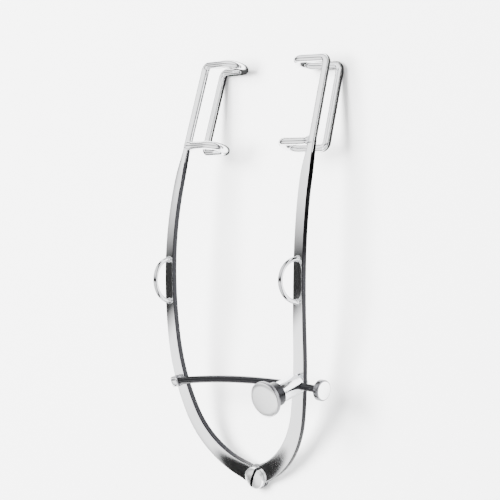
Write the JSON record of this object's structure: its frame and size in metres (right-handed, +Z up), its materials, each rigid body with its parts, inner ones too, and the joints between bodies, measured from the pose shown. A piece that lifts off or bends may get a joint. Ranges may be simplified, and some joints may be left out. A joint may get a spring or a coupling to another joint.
{
  "type": "eye speculum",
  "caption": "Adjustable eye speculum: two thin arms on a hinge screw with open wire lid blades, suture loops, and a guide bar locked by a thumb screw.",
  "frame": {"origin": "on the table under the hinge screw, on the middle plane between the arms, with the instrument lying as it comes to rest, screws on top", "axes": "+X towards the arm with the clamp post, +Y from the hinge to the lid blades along the middle plane, +Z up from the table"},
  "size_m": [0.0381, 0.075, 0.0166],
  "materials": {
    "strip_steel": "polished",
    "wire_steel": "polished",
    "turned_steel": "polished",
    "bar_steel": "satin"
  },
  "bodies": {
    "right_side": {"right_arm": "strip_steel", "right_blade": "wire_steel", "right_loop": "wire_steel", "hinge_screw": "turned_steel"},
    "left_side": {"left_arm": "strip_steel", "left_blade": "wire_steel", "left_loop": "wire_steel", "bar_rivet": "turned_steel"},
    "bar": {"guide_bar": "bar_steel", "stop_knob": "turned_steel"},
    "post": {"clamp_post": "turned_steel"},
    "screw": {"thumb_screw": "turned_steel"}
  },
  "joints": [
    {"name": "arm_hinge", "type": "hinge", "parent": "right_side", "child": "left_side", "pos_m": [0, 0, 0.0013], "axis": [0, -0.3658, 0.9307], "range_deg": [-10.5, 13]},
    {"name": "bar_pivot", "type": "hinge", "parent": "left_side", "child": "bar", "pos_m": [-0.01437, 0.01586, 0.00814], "axis": [0, -0.3658, 0.9307], "range_deg": [-6.5, 6.5]},
    {"name": "post_pivot", "type": "hinge", "parent": "right_side", "child": "post", "pos_m": [0.01437, 0.01586, 0.00814], "axis": [0, -0.3658, 0.9307], "range_deg": [-6.5, 6.5]},
    {"name": "thumb_turn", "type": "hinge", "parent": "post", "child": "screw", "pos_m": [0.01437, 0.01366, 0.01373], "axis": [0, -0.3658, 0.9307], "range_deg": [0, 270]}
  ],
  "couplings": [
    {"joint": "bar_pivot", "follows": "arm_hinge", "ratio": -0.4422},
    {"joint": "post_pivot", "follows": "arm_hinge", "ratio": 0.4422}
  ]
}
